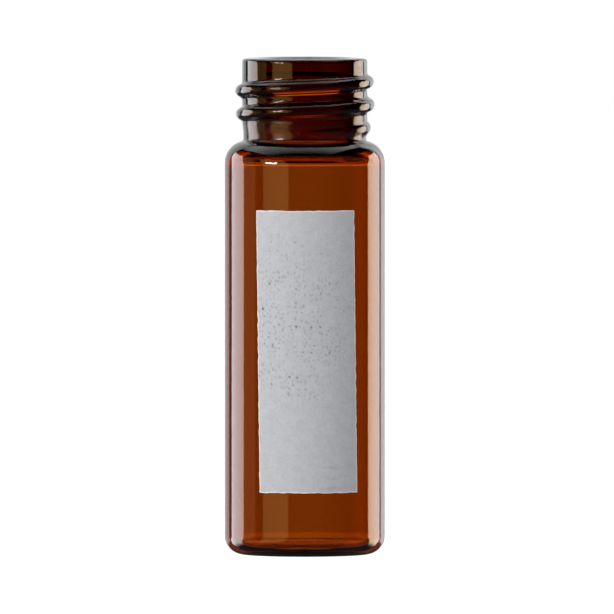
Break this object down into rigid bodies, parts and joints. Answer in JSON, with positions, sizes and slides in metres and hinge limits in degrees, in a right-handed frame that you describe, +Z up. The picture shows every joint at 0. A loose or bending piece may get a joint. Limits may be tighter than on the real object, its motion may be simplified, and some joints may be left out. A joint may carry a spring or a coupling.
{
  "type": "glass sample vial",
  "caption": "Small flat-bottomed amber glass vial with a screw neck and a blank grey writing patch printed on its front, for holding a laboratory sample.",
  "frame": {"origin": "on the vial's axis, in the plane that its foot stands on", "axes": "+Z up along the vial's axis towards the mouth, -Y towards the writing patch, +X to its right"},
  "size_m": [0.0148, 0.0148, 0.0456],
  "materials": {
    "amber_glass": "clear amber, smooth and glossy",
    "ceramic_print": "matt, finely speckled"
  },
  "bodies": {
    "root": {"glass_body": "amber_glass", "writing_patch": "ceramic_print"}
  },
  "joints": []
}
